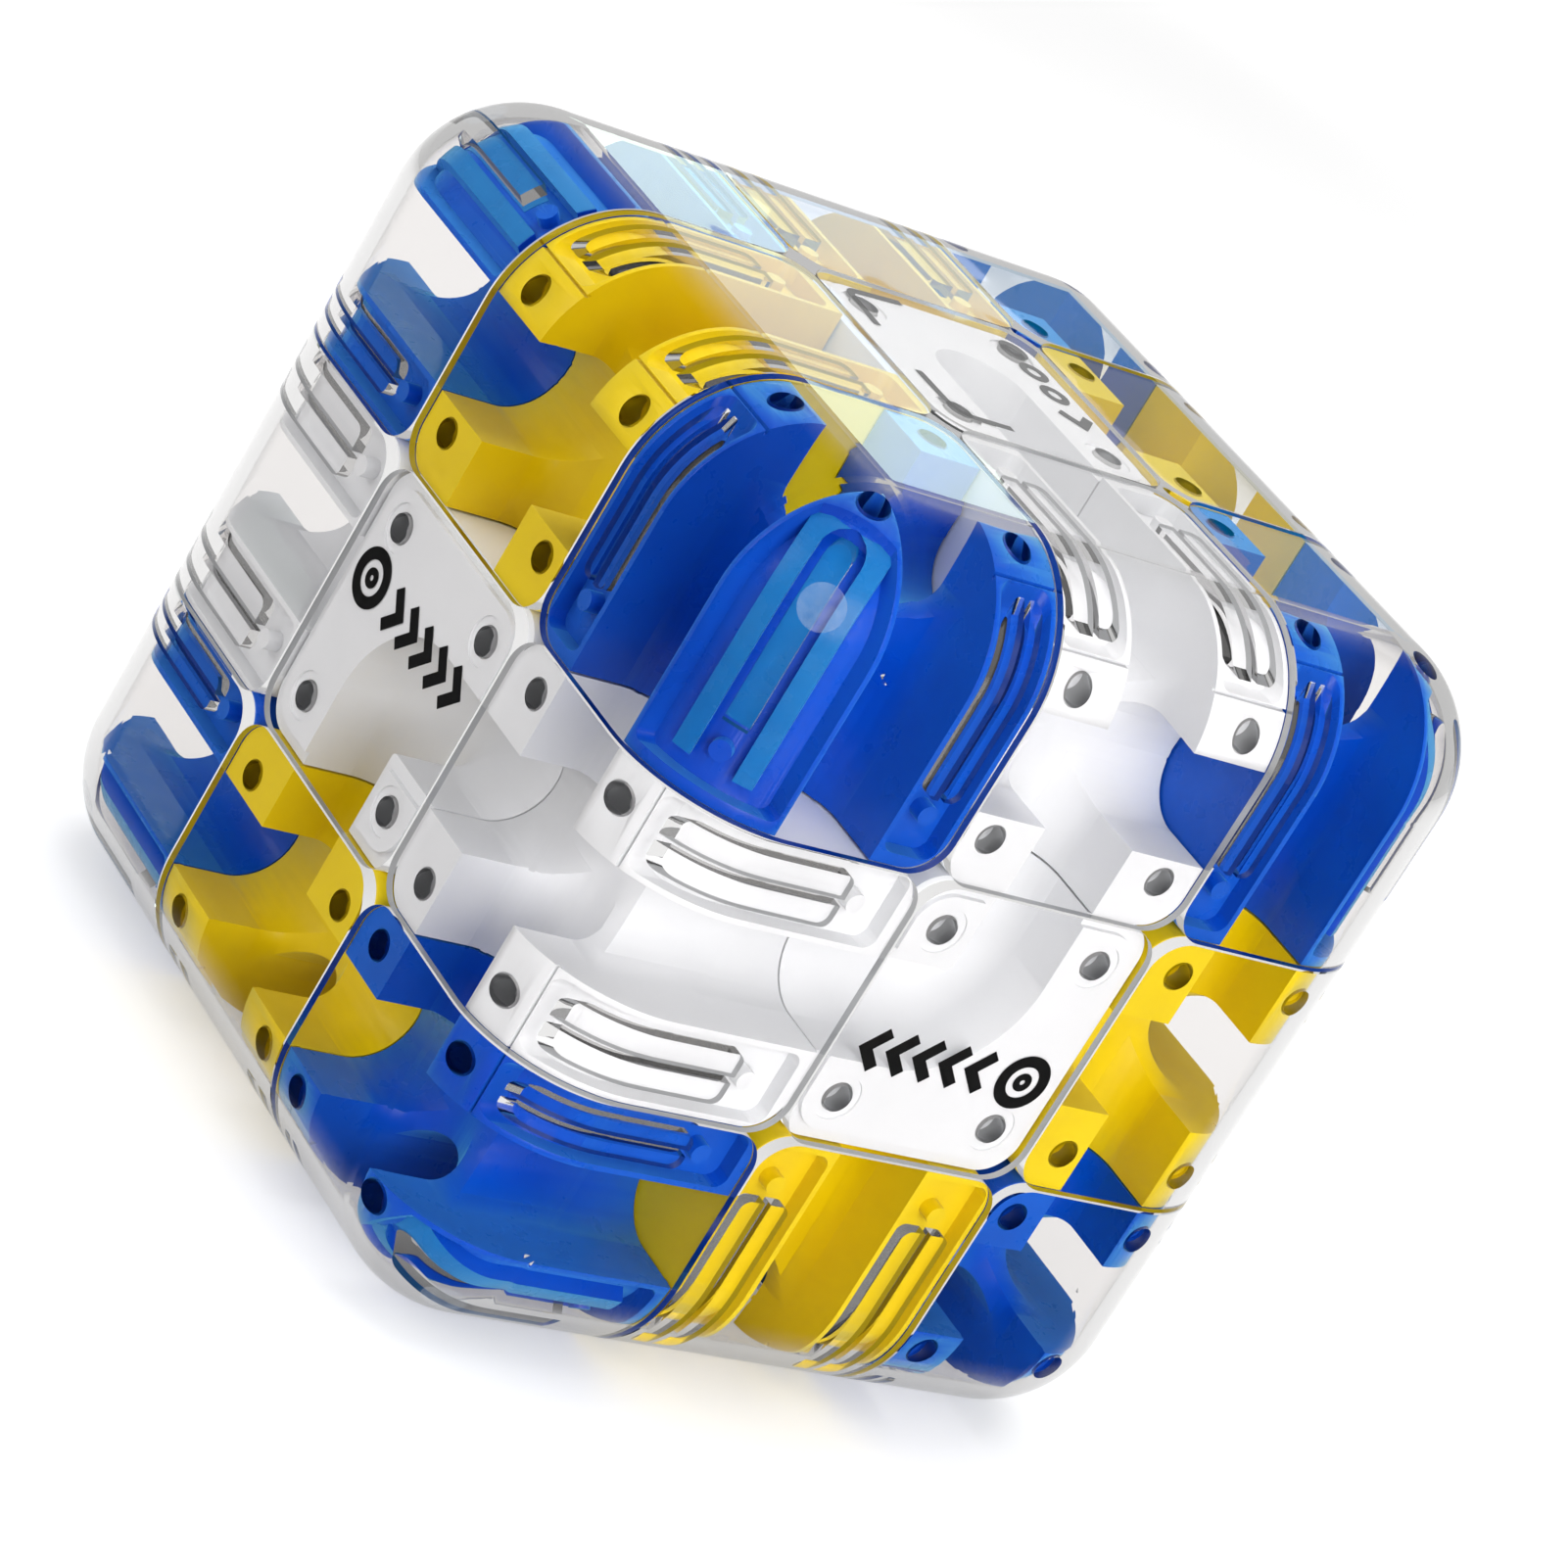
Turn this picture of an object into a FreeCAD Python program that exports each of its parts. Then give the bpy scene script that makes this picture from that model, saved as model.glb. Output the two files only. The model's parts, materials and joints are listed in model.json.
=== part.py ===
import FreeCAD
import Part
import os
import re

# Turning maze cube: 26 small blocks around a six-armed core.  Each block is a coloured
# track with ball channels in it and a clear cover over them.
# Origin: centre of the cube.  +Z up, -Y front, +X right.  Sizes in millimetres.

SIZES = {
    "half_size": 31.0,          # centre of the cube to the outside of a cover
    "edge_radius": 9.0,         # rounding of the cube's edges, outside the covers
    "cover_thickness": 1.0,
    "cover_gap": 0.1,           # air between a cover and its track
    "boundary": 10.1,           # centre of the cube to the plane between two layers
    "clearance": 0.08,          # each block stays this far from the shared planes
    "block_round": 2.6,         # rounding of a block's upright corners
    "channel_width": 7.5,
    "channel_floor": 22.0,      # centre of the cube to the lowest line of a channel
    "lane_offset": 18.9,        # centre of the cube to a channel in an outer row
    "elbow_inner": 0.4,         # rounding on the inside of a channel's elbow
    "hole_radius": 1.1,         # holes in the lands for the covers' pins
    "hole_depth": 3.0,
    "pin_radius": 1.0,
    "pin_length": 2.7,
    "centre_pin": 6.6,          # hole positions from the middle of a centre block,
    "side_pin": 7.3,            # across an edge block,
    "edge_inner_pin": 13.5,     # and from the middle of the cube in an edge block
    "edge_outer_pin": 24.4,
    "corner_inner_pin": 12.7,
    "corner_outer_pin": 24.2,
    "corner_tip_pin": 23.8,     # the hole nearest to the cube's corner
    "seam": 26.2,               # groove that ends the flat cross face, from the centre
    "seam_width": 0.2,
    "seam_depth": 0.3,
    "pocket_start": 26.45,      # the rails' pockets begin here on the cross face
    "pocket_end": 11.0,         # and end here on the side face
    "pocket_depth": 1.3,
    "pocket_round": 0.9,
    "rail_wall": 0.4,           # wall between a pocket and the channel beside it
    "plug_gap": 0.8,            # air between a cover's plug and the pocket's wall
    "plug_length_gap": 4.2,     # the plug stops this far above the pocket's end
    "plug_drop": 0.9,           # how far a plug reaches below the cover
    "plug_round": 0.7,
    "plug_slot": 0.5,
    "post_radius": 0.7,
    "post_height": 13.9,        # centre of the cube to the post in a pocket
    "post_drop": 0.2,           # the post ends this far below the rail around it
    "bar_wall": 0.35,           # wall around the pocket along a corner's own cube edge
    "bar_pocket_start": 34.95,  # distance from the upright axis to that pocket's top end
    "bar_pocket_end": 10.95,
    "bar_pocket_round": 0.6,
    "bar_half": 2.7,            # half width of the bar in that pocket
    "bar_end": 12.1,
    "bar_drop": 0.5,            # the bar lies this far below the rail around it
    "bar_slot": 2.9,
    "bar_slot_top": 28.2,
    "bar_plug_gap": 0.6,        # air beside the cover's plug in the bar's slot
    "bar_plug_end": 15.4,
    "bar_post_height": 13.4,
    "tile_rim": 0.9,            # rim around the raised plate of a centre block
    "tile_step": 0.4,
    "tile_round": 2.4,
    "halo_radius": 1.7,         # shallow ring around a centre block's holes
    "halo_depth": 0.15,
    "ball_sphere": 20.9,        # sphere that the feet turn in
    "foot_plane": 6.0,          # half thickness of the middle layer inside that sphere
    "neck_reach": 18.0,
    "hub_radius": 5.7,
    "hub_bottom": 11.0,
    "hub_floor": 1.6,
    "hub_bore": 3.7,
    "hub_top": 19.5,
    "hub_hole": 1.6,
    "hub_plug_gap": 0.1,
    "hub_plug_length": 1.5,
    "core_radius": 8.0,
    "arm_radius": 4.2,
    "arm_gap": 0.15,            # air between a core arm and its hub
    "screw_radius": 1.4,
    "screw_fit": 0.05,
    "screw_tip": 4.0,
    "screw_tip_gap": 0.5,       # the core's bores are this much deeper than the screws
    "screw_head_radius": 3.0,
    "screw_head_height": 1.2,
    "screw_slot_width": 0.7,
    "screw_slot_depth": 0.6,
    "screw_slot_reach": 2.1,
    "spring_radius": 2.4,
    "spring_wire": 0.35,
    "spring_pitch": 1.0,
    "spring_height": 3.0,
    "spring_fit": 0.05,
    "ball_radius": 3.0,
    "ball_x": 4.5,              # the ball lies in the back tile's elbow
    "ball_y": 26.0,
    "ball_z": -0.69,
    "overlap": 1.0,             # cutters and joined shapes pass each other by this much
}

# Lengths worked out from the sheet, as expressions
LAND = "(half_size-cover_thickness-cover_gap)"
COVER_INSIDE = "(half_size-cover_thickness)"
LAND_RADIUS = "(edge_radius-cover_thickness-cover_gap)"
COVER_INSIDE_RADIUS = "(edge_radius-cover_thickness)"
OUTSIDE = "(half_size+overlap)"
HALF_CHANNEL = "(channel_width/2)"
LANE_HEIGHT = "(channel_floor+channel_width/2)"
BLOCK_START = "(boundary+clearance)"
BLOCK_SIDE = "(boundary-clearance)"
LANE_START = "(boundary-overlap)"
FOOT_START = "(foot_plane+clearance)"
FOOT_SIDE = "(foot_plane-clearance)"
ELBOW_AXIS = "(channel_width/2+elbow_inner)"
TILE_STEP_HEIGHT = f"({LAND}-tile_step)"
HEAD_HEIGHT = "(hub_bottom+hub_floor+spring_fit+spring_height+2*spring_wire+spring_fit)"
CUBE_EDGE = f"(({LAND}-{LAND_RADIUS})*sqrt(2)+{LAND_RADIUS})"
BAR_SLOT_CENTRE = "(bar_slot_top-bar_slot/2)"

AXES = "xyz"
SAME = 1e-6                     # coordinates closer than this are equal

# Rotations that turn +Z to each direction
AXIS_TURNS = {
    "x": FreeCAD.Rotation(FreeCAD.Vector(0, 1, 0), 90),
    "-x": FreeCAD.Rotation(FreeCAD.Vector(0, 1, 0), -90),
    "y": FreeCAD.Rotation(FreeCAD.Vector(1, 0, 0), -90),
    "-y": FreeCAD.Rotation(FreeCAD.Vector(1, 0, 0), 90),
    "z": FreeCAD.Rotation(),
    "-z": FreeCAD.Rotation(FreeCAD.Vector(1, 0, 0), 180),
}

doc = FreeCAD.newDocument("MazeCube")


def make_sheet():
    """The spreadsheet with every driving size."""
    sheet = doc.addObject("Spreadsheet::Sheet", "Sizes")
    for row, (word, value) in enumerate(SIZES.items(), start=1):
        sheet.set(f"A{row}", word)
        sheet.set(f"B{row}", str(value))
        sheet.setAlias(f"B{row}", word)
    doc.recompute()


def on_sheet(text):
    """Point every size's name in an expression at its cell."""
    return re.sub(r"[a-z_]+", lambda word: "Sizes." + word[0] if word[0] in SIZES else word[0], text)


def bind(obj, at=None, **sizes):
    """Bind an object's sizes and, if given, its place to the sheet."""
    for name, text in sizes.items():
        obj.setExpression(name, on_sheet(text))
    for axis, text in zip(AXES, at or ()):
        obj.setExpression(f"Placement.Base.{axis}", on_sheet(text))
    return obj


def along(axis, value, **others):
    """A point as three expressions: value on one axis, the others by name."""
    others[axis] = value
    return tuple(others.get(name, "0") for name in AXES)


def fuse(name, *shapes):
    """Union."""
    obj = doc.addObject("Part::MultiFuse", name)
    obj.Shapes = list(shapes)
    return obj


def common(name, *shapes):
    """Intersection."""
    obj = doc.addObject("Part::MultiCommon", name)
    obj.Shapes = list(shapes)
    return obj


def cut(name, base, tool):
    """Difference."""
    obj = doc.addObject("Part::Cut", name)
    obj.Base = base
    obj.Tool = tool
    return obj


def compound(name, *shapes):
    """Separate solids kept together, or one solid put somewhere else."""
    obj = doc.addObject("Part::Compound", name)
    obj.Links = list(shapes)
    return obj


def block(name, low, high):
    """Box between two opposite corners."""
    box = doc.addObject("Part::Box", name)
    length, width, height = (f"({top})-({bottom})" for bottom, top in zip(low, high))
    return bind(box, at=low, Length=length, Width=width, Height=height)


def bar(name, axis, start, length, radius):
    """Round bar from start along an axis."""
    cylinder = doc.addObject("Part::Cylinder", name)
    cylinder.Placement.Rotation = AXIS_TURNS[axis]
    return bind(cylinder, at=start, Height=length, Radius=radius)


def ball_shape(name, centre, radius):
    """Full sphere."""
    return bind(doc.addObject("Part::Sphere", name), at=centre, Radius=radius)


def edge_code(edge, bounds):
    """Three signs for a box's edge: | on the axis it runs along, - or + for its side on the others."""
    low = (bounds.XMin, bounds.YMin, bounds.ZMin)
    signs = ""
    for index in range(3):
        first, last = (vertex.Point[index] for vertex in edge.Vertexes)
        if abs(first - last) > SAME:
            signs += "|"
        else:
            signs += "-" if abs(first - low[index]) < SAME else "+"
    return signs


def rounded_block(name, low, high, radius, codes=None):
    """Box with some edges rounded, named by their codes, or all twelve."""
    body = doc.addObject("PartDesign::Body", name)
    box = body.newObject("PartDesign::AdditiveBox", name + "Box")
    length, width, height = (f"({top})-({bottom})" for bottom, top in zip(low, high))
    bind(box, Length=length, Width=width, Height=height)
    bind(body, at=low)
    doc.recompute()
    found = {edge_code(edge, box.Shape.BoundBox): f"Edge{number}"
             for number, edge in enumerate(box.Shape.Edges, start=1)}
    fillet = body.newObject("PartDesign::Fillet", name + "Rounding")
    fillet.Base = (box, [found[code] for code in (codes or found)])
    bind(fillet, Radius=radius)
    body.Tip = fillet
    return body


def rounded_cube(name, half, radius):
    """Whole cube about the origin, all edges rounded."""
    return rounded_block(name, (f"-{half}",) * 3, (half,) * 3, radius)


def lane(name, run, up, start, stop, across="0"):
    """Cutter for one straight channel: half-round floor and straight walls, open upwards."""
    side = (set(AXES) - {run, up}).pop()
    floor = bar(name + "Floor", run, along(run, start, **{up: LANE_HEIGHT, side: across}),
                f"({stop})-({start})", HALF_CHANNEL)
    low = along(run, start, **{up: LANE_HEIGHT, side: f"({across})-{HALF_CHANNEL}"})
    high = along(run, stop, **{up: OUTSIDE, side: f"({across})+{HALF_CHANNEL}"})
    return fuse(name, floor, block(name + "Walls", low, high))


def lane_over_edge(name, over, across):
    """Channel from the middle of the cross face over a cube edge and down the next face."""
    top = lane(name + "Top", over, "z", LANE_START, OUTSIDE, across)
    down = lane(name + "Down", "z", over, LANE_START, OUTSIDE, across)
    return [top, down]


def side_axis(over):
    """The axis across a rail that runs over the cube edge towards the given axis."""
    return (set(AXES) - {over, "z"}).pop()


def pin_bars(name, places, radius, bottom):
    """Upright round bars at the given places, from bottom to the outside."""
    return [bar(f"{name}{number}", "z", (x, y, bottom), f"{OUTSIDE}-({bottom})", radius)
            for number, (x, y) in enumerate(places, start=1)]


CORNER_PINS = [("corner_inner_pin", "corner_inner_pin"), ("corner_inner_pin", "corner_outer_pin"),
               ("corner_outer_pin", "corner_inner_pin"), ("corner_tip_pin", "corner_tip_pin")]
EDGE_PINS = [(x, y) for x in ("edge_inner_pin", "edge_outer_pin") for y in ("side_pin", "-side_pin")]
CENTRE_PINS = [(x, y) for x in ("centre_pin", "-centre_pin") for y in ("centre_pin", "-centre_pin")]


def envelopes():
    """Rounded cubes that bound the tracks, the covers and the pockets between them."""
    return {
        "outside": rounded_cube("CoverOutside", "half_size", "edge_radius"),
        "inside": rounded_cube("CoverInside", COVER_INSIDE, COVER_INSIDE_RADIUS),
        "land": rounded_cube("TrackOutside", LAND, LAND_RADIUS),
        "pocket": rounded_cube("PocketFloor", f"({LAND}-pocket_depth)", f"({LAND_RADIUS}-pocket_depth)"),
        "plug": rounded_cube("PlugEnd", f"({COVER_INSIDE}-plug_drop)", f"({COVER_INSIDE_RADIUS}-plug_drop)"),
        "bar": rounded_cube("BarOutside", f"({LAND}-bar_drop)", f"({LAND_RADIUS}-bar_drop)"),
        "groove": rounded_cube("SeamFloor", f"({LAND}-seam_depth)", f"({LAND_RADIUS}-seam_depth)"),
    }


def spheres():
    """Outside of the feet and inside of the blocks that hold them in."""
    origin = ("0", "0", "0")
    return {
        "foot": ball_shape("FootSphere", origin, "ball_sphere-clearance"),
        "block": ball_shape("BlockSphere", origin, "ball_sphere+clearance"),
    }


def corner_cell():
    """Space of the corner block at +X +Y +Z."""
    return rounded_block("CornerCell", (BLOCK_START,) * 3, (OUTSIDE,) * 3, "block_round",
                         ("--|", "-|-", "|--"))


def edge_cell():
    """Space of the edge block at +X +Z."""
    return rounded_block("EdgeCell", (BLOCK_START, f"-{BLOCK_SIDE}", BLOCK_START),
                         (OUTSIDE, BLOCK_SIDE, OUTSIDE), "block_round", ("--|", "-+|", "|--", "|+-"))


def centre_cell():
    """Space of the centre block at +Z."""
    return rounded_block("CentreCell", (f"-{BLOCK_SIDE}", f"-{BLOCK_SIDE}", BLOCK_START),
                         (BLOCK_SIDE, BLOCK_SIDE, OUTSIDE), "block_round", ("--|", "-+|", "+-|", "++|"))


def rail_strip(name, rail, inset, start, end, radius):
    """Rounded strip along a rail, from the cross face over the cube edge and down."""
    over, low_side, high_side = rail
    side = side_axis(over)
    low = along(over, start, **{side: f"({low_side})+{inset}", "z": end})
    high = along(over, OUTSIDE, **{side: f"({high_side})-{inset}", "z": OUTSIDE})
    codes = ("|--", "|+-", "--|", "-+|") if over == "x" else ("-|-", "+|-", "--|", "+-|")
    return rounded_block(name, low, high, radius, codes)


# The rails beside the channels on the side faces: (face, low side, high side)
EDGE_RAILS = [("x", HALF_CHANNEL, BLOCK_SIDE), ("x", f"-{BLOCK_SIDE}", f"-{HALF_CHANNEL}")]
CORNER_RAILS = [(over, BLOCK_START, f"lane_offset-{HALF_CHANNEL}") for over in "xy"]


def rail_pockets(name, rails, shells):
    """Pockets in the rails, without the posts that stand in them."""
    cutters = []
    for number, rail in enumerate(rails, start=1):
        over, low_side, high_side = rail
        strip = rail_strip(f"{name}Strip{number}", rail, "rail_wall", "pocket_start", "pocket_end",
                           "pocket_round")
        middle = f"(({low_side})+({high_side}))/2"
        start = along(over, "channel_floor", **{side_axis(over): middle, "z": "post_height"})
        post = bar(f"{name}Post{number}", over, start, f"{LAND}-post_drop-channel_floor", "post_radius")
        keep = fuse(f"{name}Keep{number}", shells["pocket"], post)
        cutters.append(cut(f"{name}Pocket{number}", strip, keep))
    return cutters


def rail_plugs(name, rails, shells):
    """Slotted plugs under a cover that reach into the rails' pockets."""
    plugs = []
    for number, rail in enumerate(rails, start=1):
        over, low_side, high_side = rail
        strip = rail_strip(f"{name}Plug{number}", rail, "(rail_wall+plug_gap)", "pocket_start+plug_gap",
                           "pocket_end+plug_length_gap", "plug_round")
        side = side_axis(over)
        middle = f"(({low_side})+({high_side}))/2"
        low = along(over, "channel_floor", **{side: f"{middle}-plug_slot/2", "z": "pocket_end"})
        high = along(over, COVER_INSIDE, **{side: f"{middle}+plug_slot/2", "z": COVER_INSIDE})
        slot = common(f"{name}Slot{number}", block(f"{name}SlotBox{number}", low, high), shells["inside"])
        free = fuse(f"{name}Free{number}", shells["plug"], slot)
        plugs.append(cut(f"{name}Body{number}", strip, free))
    return plugs


def seam_grooves(name, rails, shells):
    """Fine grooves across the rails where the cross face ends."""
    grooves = []
    for number, (over, low_side, high_side) in enumerate(rails, start=1):
        side = side_axis(over)
        low = along(over, "seam", **{side: low_side, "z": "channel_floor"})
        high = along(over, "seam+seam_width", **{side: high_side, "z": OUTSIDE})
        line = block(f"{name}Line{number}", low, high)
        grooves.append(cut(f"{name}Groove{number}", line, shells["groove"]))
    return grooves


def diagonal_block(name, start, half_width, bottom, top):
    """Upright block along the diagonal between +X and +Y, outwards from a distance."""
    box = doc.addObject("Part::Box", name)
    box.Placement.Rotation = FreeCAD.Rotation(FreeCAD.Vector(0, 0, 1), 45)
    at = (f"(({start})+({half_width}))*sin(45)", f"(({start})-({half_width}))*sin(45)", bottom)
    return bind(box, at=at, Length=f"2*{OUTSIDE}-({start})", Width=f"2*({half_width})",
                Height=f"({top})-({bottom})")


def diagonal_bar(name, start, height, length, radius):
    """Round bar along the same diagonal."""
    cylinder = doc.addObject("Part::Cylinder", name)
    cylinder.Placement.Rotation = FreeCAD.Rotation(FreeCAD.Vector(-1, 1, 0), 90)
    at = (f"({start})*sin(45)", f"({start})*sin(45)", height)
    return bind(cylinder, at=at, Height=length, Radius=radius)


def bar_slot(name, half_width, bottom):
    """Slot with a rounded top along the middle of the corner's bar."""
    straight = diagonal_block(name + "Straight", "0", half_width, bottom, BAR_SLOT_CENTRE)
    end = diagonal_bar(name + "End", "0", BAR_SLOT_CENTRE, f"2*{OUTSIDE}", half_width)
    return fuse(name, straight, end)


def bar_pocket(shells):
    """Pocket along a corner's own cube edge, around a slotted bar and a post."""
    wall = f"lane_offset+{HALF_CHANNEL}+bar_wall"
    space = rounded_block("BarSpace", (wall, wall, "bar_pocket_end"), (OUTSIDE,) * 3, "bar_pocket_round",
                          ("|--", "-|-"))
    reach = diagonal_block("BarReach", "bar_pocket_start", OUTSIDE, "bar_pocket_end", OUTSIDE)
    whole = diagonal_block("BarBlock", "0", "bar_half", "bar_end", OUTSIDE)
    slotted = cut("BarSlotted", common("BarRaised", whole, shells["bar"]),
                  bar_slot("BarSlot", "bar_slot/2", "bar_end-overlap"))
    post = diagonal_bar("BarPost", "channel_floor", "bar_post_height", f"{CUBE_EDGE}-bar_drop-channel_floor",
                        "post_radius")
    keep = fuse("BarKeep", shells["pocket"], slotted, post)
    return cut("BarPocket", common("BarHollow", space, reach), keep)


def bar_plug(shells):
    """The corner cover's plug in the bar's slot."""
    shape = bar_slot("BarPlugShape", "bar_slot/2-bar_plug_gap", "bar_plug_end")
    above = diagonal_block("BarPlugAbove", "0", "bar_half", "bar_plug_end", OUTSIDE)
    return cut("BarPlug", common("BarPlugOutside", shape, above, shells["outside"]), shells["plug"])


def corner_track(cell, shells, round_cuts):
    """Corner moulding: crossing channels, both carried over the cube edges, and a foot."""
    solid = common("CornerSolid", cell, shells["land"])
    foot_box = block("CornerFootBox", (FOOT_START,) * 3, (OUTSIDE,) * 3)
    whole = fuse("CornerWhole", solid, common("CornerFoot", foot_box, round_cuts["foot"]))
    cutters = lane_over_edge("CornerLaneX", "x", "lane_offset")
    cutters += lane_over_edge("CornerLaneY", "y", "lane_offset")
    cutters += pin_bars("CornerHole", CORNER_PINS, "hole_radius", f"{LAND}-hole_depth")
    cutters += rail_pockets("CornerRail", CORNER_RAILS, shells)
    cutters += seam_grooves("CornerSeam", CORNER_RAILS, shells)
    cutters.append(bar_pocket(shells))
    return cut("CornerTrack", whole, fuse("CornerCuts", *cutters))


def edge_track(cell, shells, round_cuts):
    """Edge moulding: crossing channels, one carried over the cube edge, neck and foot."""
    solid = cut("EdgeOuter", common("EdgeSolid", cell, shells["land"]), round_cuts["block"])
    foot_box = block("EdgeFootBox", (FOOT_START, f"-{FOOT_SIDE}", FOOT_START), (OUTSIDE, FOOT_SIDE, OUTSIDE))
    foot = common("EdgeFoot", foot_box, round_cuts["foot"])
    neck = block("EdgeNeck", (BLOCK_START, f"-{FOOT_SIDE}", BLOCK_START),
                 ("neck_reach", FOOT_SIDE, "neck_reach"))
    whole = fuse("EdgeWhole", solid, foot, neck)
    cutters = lane_over_edge("EdgeLane", "x", "0")
    cutters.append(lane("EdgeCross", "y", "z", f"-{OUTSIDE}", OUTSIDE, "lane_offset"))
    cutters += pin_bars("EdgeHole", EDGE_PINS, "hole_radius", f"{LAND}-hole_depth")
    cutters += rail_pockets("EdgeRail", EDGE_RAILS, shells)
    cutters += seam_grooves("EdgeSeam", EDGE_RAILS, shells)
    return cut("EdgeTrack", whole, fuse("EdgeCuts", *cutters))


def elbow():
    """Cutter for a channel that turns from +X to +Y around the middle of a centre block."""
    turn = FreeCAD.Rotation(FreeCAD.Vector(0, 0, 1), 180)
    floor = doc.addObject("Part::Torus", "ElbowFloor")
    floor.Placement.Rotation = turn
    floor.Angle3 = 90
    bind(floor, at=(ELBOW_AXIS, ELBOW_AXIS, LANE_HEIGHT), Radius1=ELBOW_AXIS, Radius2=HALF_CHANNEL)
    outer = doc.addObject("Part::Cylinder", "ElbowOuter")
    outer.Placement.Rotation = turn
    outer.Angle = 90
    bind(outer, at=(ELBOW_AXIS, ELBOW_AXIS, LANE_HEIGHT), Height=f"{OUTSIDE}-{LANE_HEIGHT}",
         Radius=f"{ELBOW_AXIS}+{HALF_CHANNEL}")
    inner = bar("ElbowInner", "z", (ELBOW_AXIS, ELBOW_AXIS, LANE_HEIGHT), f"{OUTSIDE}-{LANE_HEIGHT}",
                "elbow_inner")
    legs = [lane("ElbowLeg" + axis.upper(), axis, "z", ELBOW_AXIS, OUTSIDE) for axis in "xy"]
    return fuse("Elbow", floor, cut("ElbowWalls", outer, inner), *legs)


def elbow_step():
    """Lowered strips along the small land inside the elbow."""
    start = (HALF_CHANNEL, HALF_CHANNEL, TILE_STEP_HEIGHT)
    inset = f"({HALF_CHANNEL}+tile_rim)"
    return fuse("ElbowStep", block("StepX", start, (inset, OUTSIDE, OUTSIDE)),
                block("StepY", start, (OUTSIDE, inset, OUTSIDE)))


def dead_end():
    """Cutter for a channel from +X that ends in a round pocket."""
    pocket = ball_shape("PocketEnd", ("0", "0", LANE_HEIGHT), HALF_CHANNEL)
    shaft = bar("PocketShaft", "z", ("0", "0", LANE_HEIGHT), f"{OUTSIDE}-{LANE_HEIGHT}", HALF_CHANNEL)
    return fuse("DeadEnd", pocket, shaft, lane("PocketLane", "x", "z", "0", OUTSIDE))


def centre_blank(cell, shells, round_cuts):
    """Centre moulding before its channel is cut: raised plate, boss and plug for the hub."""
    solid = cut("CentreOuter", common("CentreSolid", cell, shells["land"]), round_cuts["block"])
    boss = bar("CentreBoss", "z", ("0", "0", "hub_top"), f"{LANE_HEIGHT}-hub_top", "hub_radius")
    plug = bar("CentrePlug", "z", ("0", "0", "hub_top-hub_plug_length"), "hub_plug_length+overlap",
               "hub_bore-hub_plug_gap")
    whole = fuse("CentreWhole", solid, boss, plug)
    plate = f"({BLOCK_SIDE}-tile_rim)"
    raised = rounded_block("TilePlate", (f"-{plate}", f"-{plate}", "channel_floor"), (plate, plate, OUTSIDE),
                           "tile_round", ("--|", "-+|", "+-|", "++|"))
    rim_box = block("TileRimBox", (f"-{OUTSIDE}", f"-{OUTSIDE}", TILE_STEP_HEIGHT), (OUTSIDE,) * 3)
    cutters = [cut("TileRim", rim_box, raised)]
    cutters += pin_bars("CentreHole", CENTRE_PINS, "hole_radius", f"{LAND}-hole_depth")
    cutters += pin_bars("CentreHalo", CENTRE_PINS, "halo_radius", f"{LAND}-halo_depth")
    return cut("CentreBlank", whole, fuse("CentreCuts", *cutters))


def cover(name, cell, shells, pins, plugs):
    """Clear cover: curved plate with pins for the lands' holes and plugs for the rails."""
    pegs = pin_bars(name + "Pin", pins, "pin_radius", f"{COVER_INSIDE}-pin_length")
    plate = cut(name + "Plate", cell, shells["inside"])
    return common(name, fuse(name + "Raw", plate, *pegs, *plugs), cell, shells["outside"])


def hub():
    """Centre hub at +Z: cup with a screw hole in its floor."""
    outer = bar("HubOuter", "z", ("0", "0", "hub_bottom"), "hub_top-hub_bottom", "hub_radius")
    bore = bar("HubBore", "z", ("0", "0", "hub_bottom+hub_floor"), "hub_top", "hub_bore")
    hole = bar("HubHole", "z", ("0", "0", "0"), "hub_top", "hub_hole")
    return cut("Hub", outer, fuse("HubCuts", bore, hole))


def screw():
    """Flat-headed screw at +Z with a cross slot; its thread is left plain."""
    shank = bar("ScrewShank", "z", ("0", "0", "screw_tip"), f"{HEAD_HEIGHT}-screw_tip", "screw_radius")
    head = bar("ScrewHead", "z", ("0", "0", HEAD_HEIGHT), "screw_head_height", "screw_head_radius")
    base = f"{HEAD_HEIGHT}+screw_head_height-screw_slot_depth"
    reach, half = "screw_slot_reach", "screw_slot_width/2"
    slots = []
    for name, half_x, half_y in (("SlotX", reach, half), ("SlotY", half, reach)):
        slots.append(block(name, (f"-{half_x}", f"-{half_y}", base), (half_x, half_y, f"{base}+overlap")))
    return cut("Screw", fuse("ScrewWhole", shank, head), fuse("ScrewSlots", *slots))


def spring():
    """Compression spring at +Z between the hub's floor and the screw's head."""
    helix = doc.addObject("Part::Helix", "SpringPath")
    bottom = "hub_bottom+hub_floor+spring_fit+spring_wire"
    bind(helix, at=("0", "0", bottom), Pitch="spring_pitch", Height="spring_height", Radius="spring_radius")
    wire = doc.addObject("Part::Circle", "SpringWire")
    wire.Placement.Rotation = FreeCAD.Rotation(FreeCAD.Vector(1, 0, 0), 90)
    bind(wire, at=("spring_radius", "0", bottom), Radius="spring_wire")
    sweep = doc.addObject("Part::Sweep", "Spring")
    sweep.Sections = [wire]
    sweep.Spine = (helix, ["Edge1"])
    sweep.Solid = True
    sweep.Frenet = True
    return sweep


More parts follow.
